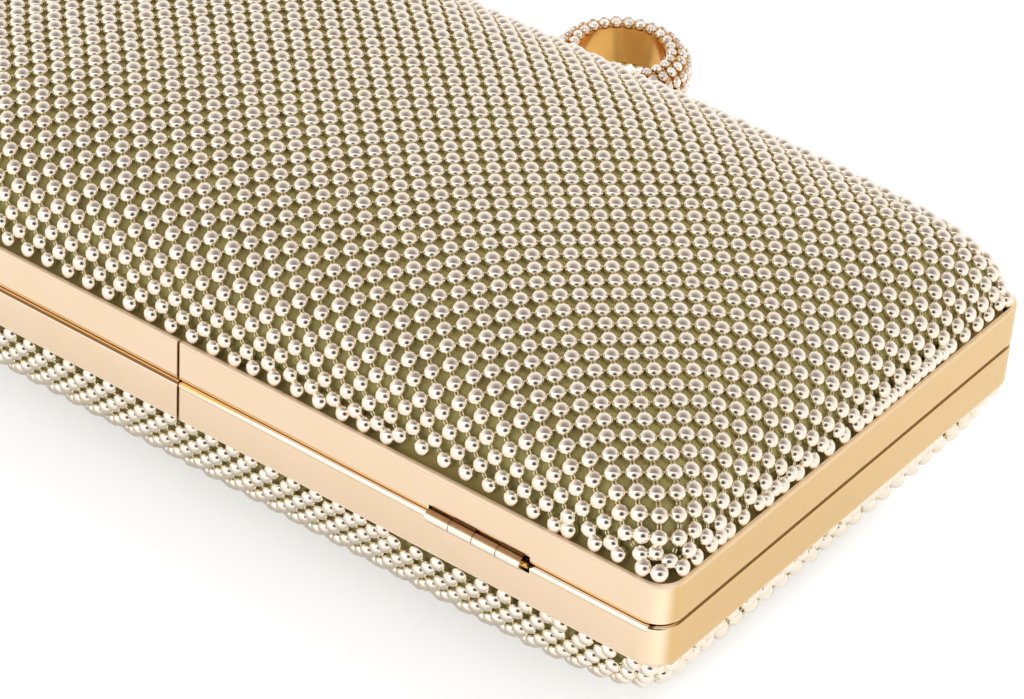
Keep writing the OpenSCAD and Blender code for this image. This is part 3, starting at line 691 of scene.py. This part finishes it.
def bandFinish():  # plating with painted light: the short ends painted a deeper gold for their darker reflection, a painted corner highlight, and painted reflections, highlights and shade along the parting line and in the hinge slots
    f = Finish("frame plating")
    place = f.place()
    x, y, h = f.off(place, 0), f.off(place, 1), f.off(place, 2, box["parting"])
    far, wide, high = abs(x), abs(y), abs(h)

    def stripe(name):
        return h.inside(*band["stripes"][name], band["stripeSoft"])

    def span(along, name):
        return along.between(*band[name])

    ends, outer, rim = span(far, "ends"), span(far, "outer"), span(high, "rimFrom")
    # painted highlight: a pale gleam painted down each rounded corner of the band
    corner = span(far, "corner") * (1 - ends) * span(wide, "cornerWide")
    hingeSide, left = span(y, "hingeSide"), span(x, "left")
    # painted light along the hinge side's parting groove: below the lip line a painted white highlight, above
    # it a painted orange reflection
    lip, soft = band["lipStart"] + x.between(0.0, band["lipRun"]) * band["lipRise"], band["lipSoft"]
    under = (h - lip).between(soft, -soft) * span(h, "lipFoot")
    above = (h - lip).between(-soft, soft) * span(h, "lipTop")
    # painted shadow: a brown spot painted where the lip's highlight ends near each corner
    lipEndShadow = span(far, "lipEndShadow") * span(far, "lipEndStop") * span(y, "lipEndSide")
    # painted shade: the hinge recesses cut in the bands are painted near black
    slot = far.inside(*band["slotAlong"]) * y.inside(*band["slotDeep"]) * span(high, "slotHigh")
    # painted shade: a thin brown line at the upper band's lower edge, fading along the right half, brown in
    # the wider groove left of the seam, and an olive line under the lip right of the seam
    upper = stripe("upper") * (1 - span(x, "brownFade") * band["upperFade"])
    lower = stripe("lower") * (1 - left) * band["oliveShare"]
    seam = span(far, "seamHalf") * (1 - stripe("seam"))
    clouds, specks, hazy, scratches = platingMarks(f, place, band["speckFrom"])
    tone = f.blend(clouds * band["cloudShare"], gold["pale"], gold["warm"])
    # painted reflection: the short ends take a deeper gold for the darker surroundings they mirror
    tone = f.blend(ends, tone, band["short"])
    tone = f.blend(corner * band["cornerHighlightShare"], tone, band["gleam"])
    tone = f.blend(specks * band["speckShare"], tone, toned(gold["warm"], gold["speckTone"]))
    # on the short ends, a brown stripe of painted shade in the parting gap and a pale painted highlight just
    # above it; the top rim and the butt seam keep the metal's own colours
    for cover, colour in ((rim * (1 - ends * band["rimFade"]), "rim"), (hingeSide * upper, "brown"),
                          (hingeSide * above, "grooveReflection"), (hingeSide * under, "lip"),
                          (hingeSide * left * stripe("left"), "brown"), (hingeSide * lower, "olive"),
                          (lipEndShadow * stripe("lipEndShadow"), "brown"), (slot, "slot"), (hingeSide * seam, "seam"),
                          (outer * stripe("outer"), "brown"), (outer * stripe("outerEdge"), "gleam")):
        tone = f.blend(cover, tone, band[colour])
    return f.surface(baseColor=tone, metallic=1 - rim * band["rimDull"], normal=scratches,
                     roughness=gold["haze"] + hazy + span(high, "rimHaze") * band["rimRough"])


def knuckleFinish():  # knuckles painted pale below as a highlight and brown above as a darker reflection, with painted shade under the slot
    f = Finish("hinge plating")
    place = f.place()
    y, h = f.off(place, 1), f.off(place, 2, box["parting"])
    cloudy = f.noise(place, knuckle["patches"], 3.0)
    tone = f.blend(h.between(*knuckle["paintedReflectionFrom"]), band["lip"], knuckle["brown"])
    tone = f.blend(cloudy.between(*knuckle["cloudRange"]) * knuckle["cloudShare"], tone, gold["warm"])
    # painted shade: the knuckles' tops under the band's slot are darkened near black
    slotShade = y.between(*knuckle["slotShadeBack"]) * y.between(*knuckle["slotShadeFront"])
    slotShade = slotShade * h.between(*knuckle["slotShadeHigh"]) * knuckle["slotShade"]
    tone = f.blend(slotShade, tone, band["slot"])
    return f.surface(baseColor=tone, metallic=1.0,
                     roughness=knuckle["roughness"] + cloudy * knuckle["roughSwing"])


# Hidden layers: two colours and a roughness each, and for the soft ones the mottling's scale and depth
hidden = {"plate steel": ((0.62, 0.62, 0.64), (0.50, 0.50, 0.52), 0.3),
          "nickel plate": ((0.68, 0.66, 0.62), (0.55, 0.53, 0.50), 0.18),
          "moulded board": ((0.48, 0.40, 0.28), (0.36, 0.30, 0.20), 0.7, 0.6, 0.0001),
          "padding foam": ((0.88, 0.84, 0.74), (0.78, 0.74, 0.62), 0.95, 2.5, 0.0002),
          "brushRun": (0.4, 4.0, 4.0), "brushDepth": 0.00003}


def plainMetal(name):
    f = Finish(name)
    light, dark, roughness = hidden[name]
    brushed = f.noise(f.stretch(f.place(), hidden["brushRun"]), 1.5, 4.0)
    return f.surface(baseColor=f.blend(brushed, light, dark), metallic=1.0,
                     roughness=roughness + brushed * 0.15, normal=f.bump(brushed, 0.1, hidden["brushDepth"]))


def plainSolid(name):
    f = Finish(name)
    light, dark, roughness, scale, depth = hidden[name]
    mottle = f.noise(f.place(), scale, 4.0)
    return f.surface(baseColor=f.blend(mottle, light, dark), roughness=roughness,
                     normal=f.bump(mottle, 0.4, depth))


hingeGold = goldFinish("hinge gold plating", gold["warm"], gold["deep"], gold["hingeHaze"])
deepGold = goldFinish("deep polished gold", gold["deep"], gold["old"], gold["haze"])
for material, names in ((bandFinish(), ("lower_frame", "upper_frame")),
                        (knuckleFinish(), ("right_hinge_lower_leaf", "right_hinge_upper_leaf",
                                           "left_hinge_lower_leaf", "left_hinge_upper_leaf")),
                        (hingeGold, ("lower_leaf_rivets", "upper_leaf_rivets", "lower_splice_rivets",
                                     "upper_splice_rivets", "ring_rivets", "ring_post")),
                        (deepGold, ("right_hinge_pin", "left_hinge_pin", "ring_band")),
                        (plainMetal("plate steel"), ("lower_splice_plate", "upper_splice_plate")),
                        (plainMetal("nickel plate"), ("lower_magnets", "upper_magnets")),
                        (plainSolid("moulded board"), ("lower_shell", "upper_shell")),
                        (plainSolid("padding foam"), ("lower_padding", "upper_padding"))):
    for name in names:
        paintNode(name, material)
print("frames, hinges and rivets plated")


# Trays: satin over card, with a corded edge and a slip pocket in the lid
tray = {"inset": 0.0054, "thick": 0.0008, "rise": 0.0204, "floorShare": 0.92, "foot": 0.00035, "sides": 160,
        "rings": 22, "wall": 0.018, "cutShare": 0.92, "pleats": 64, "pleatShare": 0.002,
        "cordRadius": 0.00042,
        "champagne": (0.66, 0.55, 0.38), "shade": (0.46, 0.36, 0.22), "edging": (0.50, 0.38, 0.20),
        "edgingShade": 0.6, "weave": 2.2, "threadDepth": 0.00004, "patches": 0.06, "patchDepth": 0.0015,
        "patchRange": (0.3, 0.7), "patchShare": 0.7, "roughness": 0.42, "roughSwing": 0.1, "sheen": 0.4,
        "sheenRoughness": 0.35}
pocket = {"length": 0.08, "width": 0.038, "thick": 0.0006, "room": 0.0012, "gap": 0.00005, "columns": 60,
          "rows": 30, "sag": 0.0003, "edge": 8, "gather": 0.00008, "gatherTurn": 1.9, "hem": 0.003,
          "front": 0.5, "back": 0.35,
          "stitches": 60, "stitchReach": 0.98, "stitchIn": 0.0006, "stitchDrop": 0.0004,
          "stitchRadius": 0.00014, "stitchHalf": 0.0004}


def satinFinish(name, light, dark):
    f = Finish(name)
    place = f.place()
    thread = f.threads(place, "X", tray["weave"], 0.6)
    soft = f.noise(place, tray["patches"], 2.0)
    shade = soft.between(*tray["patchRange"]) * tray["patchShare"] + thread * (1 - tray["patchShare"])
    waves = f.bump(soft, 0.6, tray["patchDepth"])
    rough = tray["roughness"] + thread * tray["roughSwing"]
    return f.surface(baseColor=f.blend(shade, light, dark), roughness=rough,
                     sheenWeight=tray["sheen"], sheenRoughness=tray["sheenRoughness"],
                     normal=f.bump(thread, 0.25, tray["threadDepth"], waves))


def tubeAround(path, radius, sides=8):  # a closed round cord along a closed path
    ahead = unit(np.roll(path, -1, axis=0) - np.roll(path, 1, axis=0))
    side = unit(np.cross(ahead, (0.0, 0.0, 1.0)))
    up = np.cross(side, ahead)
    points = [path + y * side + z * up for y, z, _ in circle(radius, sides, 0)]
    count = len(path)
    faces = []
    for k in range(sides):
        for i in range(count):
            j, this, other = (i + 1) % count, k * count, (k + 1) % sides * count
            faces.append([this + i, this + j, other + j, other + i])
    return np.concatenate(points), faces


def trayFloor(offset):  # how far the flat floor lies from the parting line
    return box["bandTop"] + (tray["rise"] - offset) * tray["floorShare"]


def makeTray(half, satin, edging):
    last = np.degrees(asin(tray["floorShare"] ** (box["heightPower"] / 2)))
    outer, inner = (skinRings(tray, offset, last, 1.0) for offset in (0.0, tray["thick"]))
    turn = np.arange(tray["sides"]) / tray["sides"] * tray["pleats"] * tau
    for k, line in enumerate(inner):  # fine gathers up the satin's wall, none at its edge or on the floor
        fade = sin(pi * min(1.0, k / (len(inner) - 1)))
        line[:, :2] *= (1 - tray["pleatShare"] * fade * (0.5 + 0.5 * np.sin(turn)))[:, None]
    top, innerTop = (trayFloor(offset) for offset in (0.0, tray["thick"]))
    shape = shellOf(outer, inner, top, innerTop)
    piece = halfPiece(half, f"{half}_tray", shape, satin)
    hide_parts(f"{half}_lining")
    cut = tuple(2 * side + 2 * tray["wall"] for side in halfSize(tray["inset"]))
    area = cut[0] * cut[1] * tray["cutShare"]
    radius = tray["cordRadius"]
    path = levelLine(1.0, tray["inset"] + tray["thick"] / 2, tray["sides"] * 2, tray["foot"] + radius)
    halfPiece(half, f"{half}_tray_edging", tubeAround(path, radius), edging)


def pocketCloth(floorAt):  # two faces of one cloth, closed along their edges
    hl, hw, t = pocket["length"] / 2, pocket["width"] / 2, pocket["thick"]
    columns, rows = pocket["columns"], pocket["rows"]
    upper, lower = [], []
    for r in range(rows + 1):
        for c in range(columns + 1):
            u, v = 2 * c / columns - 1, r / rows  # v is 0 at the sewn edge and 1 at the mouth
            edge = min(1.0, (1 - abs(u)) * pocket["edge"], v * pocket["edge"])
            gather = pocket["gather"] * sin(c * pocket["gatherTurn"]) * v
            sag = pocket["sag"] * v ** 3 * (1 - u * u)
            face = floorAt - pocket["room"] * edge ** 0.5 - sag + gather * edge
            upper.append((u * hl, -hw + 2 * hw * v, face - t * pocket["front"]))
            lower.append((u * hl, -hw + 2 * hw * v, face + t * pocket["back"]))
    wide, count, faces = columns + 1, len(upper), []
    for r in range(rows):
        for c in range(columns):
            quad = [r * wide + c, (r + 1) * wide + c, (r + 1) * wide + c + 1, r * wide + c + 1]
            faces += [quad, [count + corner for corner in reversed(quad)]]
    border = list(range(columns)) + [r * wide + columns for r in range(rows)]
    border += [rows * wide + c for c in range(columns, 0, -1)] + [r * wide for r in range(rows, 0, -1)]
    for one, two in zip(border, border[1:] + border[:1]):
        faces.append([one, two, count + two, count + one])
    return upper + lower, faces


def makePocket(satin, edging):
    floorAt = trayFloor(tray["thick"]) - pocket["gap"]
    piece = halfPiece("upper", "pocket_cloth", pocketCloth(floorAt), satin)
    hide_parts("slip_pocket")
    reach, row = pocket["stitchReach"] * pocket["length"] / 2, pocket["stitchIn"] - pocket["width"] / 2
    places = np.linspace(-reach, reach, pocket["stitches"])
    spots = np.array([(x, row, floorAt - pocket["stitchDrop"]) for x in places])
    across, along, up = (np.tile(way, (len(spots), 1)) for way in ((1.0, 0, 0), (0, 1.0, 0), (0, 0, -1.0)))
    shape = strewn(barTemplate(pocket["stitchRadius"], pocket["stitchHalf"]), spots, across, along, up)
    halfPiece("upper", "pocket_stitches", shape, edging)


satin = satinFinish("champagne satin", tray["champagne"], tray["shade"])
edgingSatin = satinFinish("edging satin", tray["edging"], toned(tray["edging"], tray["edgingShade"]))
for half in halves:
    makeTray(half, satin, edgingSatin)
makePocket(satin, edgingSatin)
print("trays and pocket lined")


# Finger ring: rows of foiled clear stones in gold cups, with prongs between them
ring = {"y": 0.072, "z": 0.036, "sectionAt": 0.0094, "seat": 0.00315, "pitch": 0.00225, "straight": 0.0018,
        "tilts": (-93, -57, -21, 0, 21, 57, 93), "openTilt": 45, "postRadius": 0.0018, "postRoom": 0.00005,
        "stoneRadius": 0.00095, "baseShare": 0.8, "girdle": 0.00042, "breakReach": 1.06, "breakShare": 0.62,
        "tableRadius": 0.00054, "crown": 0.00098, "facets": 8, "cupSides": 16, "cupWall": 0.00010,
        "cupHeight": 0.00045, "cupFoot": 0.9, "cupLip": 0.1, "prongRadius": 0.00026, "prongOff": 0.62,
        "clear": (1.0, 0.94, 0.84), "smoky": (0.80, 0.70, 0.60), "foil": 0.85, "roughness": 0.04,
        "roughSwing": 0.05}


def stoneTemplate():  # base, girdle, the break between the crown's facets, and the table
    n, r, t = ring["facets"], ring["stoneRadius"], ring["tableRadius"]
    middle = (r + t) / 2 * ring["breakReach"]
    high = ring["girdle"] + (ring["crown"] - ring["girdle"]) * ring["breakShare"]
    points = circle(r * ring["baseShare"], 2 * n, 0.0) + circle(r, 2 * n, ring["girdle"])
    points += circle(middle, n, high) + circle(t, n, ring["crown"], 0.5)
    faces = [list(reversed(range(2 * n)))]
    low, mid, top = 2 * n, 4 * n, 5 * n
    for i in range(2 * n):
        faces.append([i, (i + 1) % (2 * n), low + (i + 1) % (2 * n), low + i])
    for i in range(n):
        j = (i + 1) % n
        a, b, c = low + 2 * i, low + (2 * i + 1) % (2 * n), low + (2 * i + 2) % (2 * n)
        faces += [[a, b, mid + i], [b, c, mid + j], [mid + i, b, top + i], [b, mid + j, top + i],
                  [mid + j, top + j, top + i]]
    faces.append([top + i for i in range(n)])
    return np.array(points), faces


def cupTemplate():
    n, r, wall, high = ring["cupSides"], ring["stoneRadius"], ring["cupWall"], ring["cupHeight"]
    points = circle(r * ring["cupFoot"], n, 0.0) + circle(r + wall, n, 0.0)
    points += circle(r + wall, n, high) + circle(r + wall * ring["cupLip"], n, high)
    faces = [[k * n + i, k * n + (i + 1) % n, (k + 1) % 4 * n + (i + 1) % n, (k + 1) % 4 * n + i]
             for k in range(4) for i in range(n)]
    return np.array(points), faces


def stoneSeats():  # the CAD's own seats, and the gaps between neighbours
    seats, gaps = [], []
    room = ring["postRadius"] + ring["stoneRadius"] + ring["postRoom"]
    for tilt in ring["tilts"]:
        t = radians(tilt)
        rowRadius = ring["sectionAt"] + ring["seat"] * cos(t)
        count = floor(pi / asin(ring["pitch"] / 2 / rowRadius))
        for i in range(count):
            for share, store in ((0.5, seats), (1.0, gaps)):
                turn = tau * (i + share) / count
                if rowRadius * abs(sin(turn / 2)) * 2 < room and abs(tilt) <= ring["openTilt"]:
                    continue
                out = Vector((sin(turn), -cos(turn), 0))
                up = out * cos(t) + Vector((0, 0, sin(t)))
                rise = Vector((0, 0, np.sign(tilt) * ring["straight"] / 2))
                at = Vector((0, ring["y"], ring["z"])) + rise + out * ring["sectionAt"] + up * ring["seat"]
                store.append((at, up, Vector((cos(turn), sin(turn), 0))))
    return seats, gaps


def strewnAt(template, seats, shift=0.0):
    at, up, along = (np.array([[*seat[k]] for seat in seats]) for k in range(3))
    third = np.cross(up, along)
    return strewn(template, at + third * shift, along, third, up)


def stoneFinish():
    f = Finish("clear stone")
    flash = f.add("NewGeometry", out="Random Per Island")
    rough = ring["roughness"] + f.noise(f.place(), 1.0) * ring["roughSwing"]
    return f.surface(baseColor=f.blend(flash, ring["clear"], ring["smoky"]), metallic=ring["foil"],
                     roughness=rough, coatWeight=1.0)


def makeRingStones():
    seats, gaps = stoneSeats()
    stones = bulk("stones", *strewnAt(stoneTemplate(), seats), smooth=False)
    dress(stones, "lid", stoneFinish())
    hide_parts("ring_stones")
    dress(bulk("stone_cups", *strewnAt(cupTemplate(), seats), smooth=False), "lid", hingeGold)
    points, faces = domeTemplate()
    prong = points * ring["prongRadius"] / bead["radius"], faces
    off = ring["stoneRadius"] * ring["prongOff"]
    (left, leftFaces), (right, rightFaces) = (strewnAt(prong, gaps, way * off) for way in (-1, 1))
    every = leftFaces + [[len(left) + corner for corner in face] for face in rightFaces]
    dress(bulk("stone_prongs", np.concatenate([left, right]), every), "lid", linkGold)


makeRingStones()
print("ring set with stones")
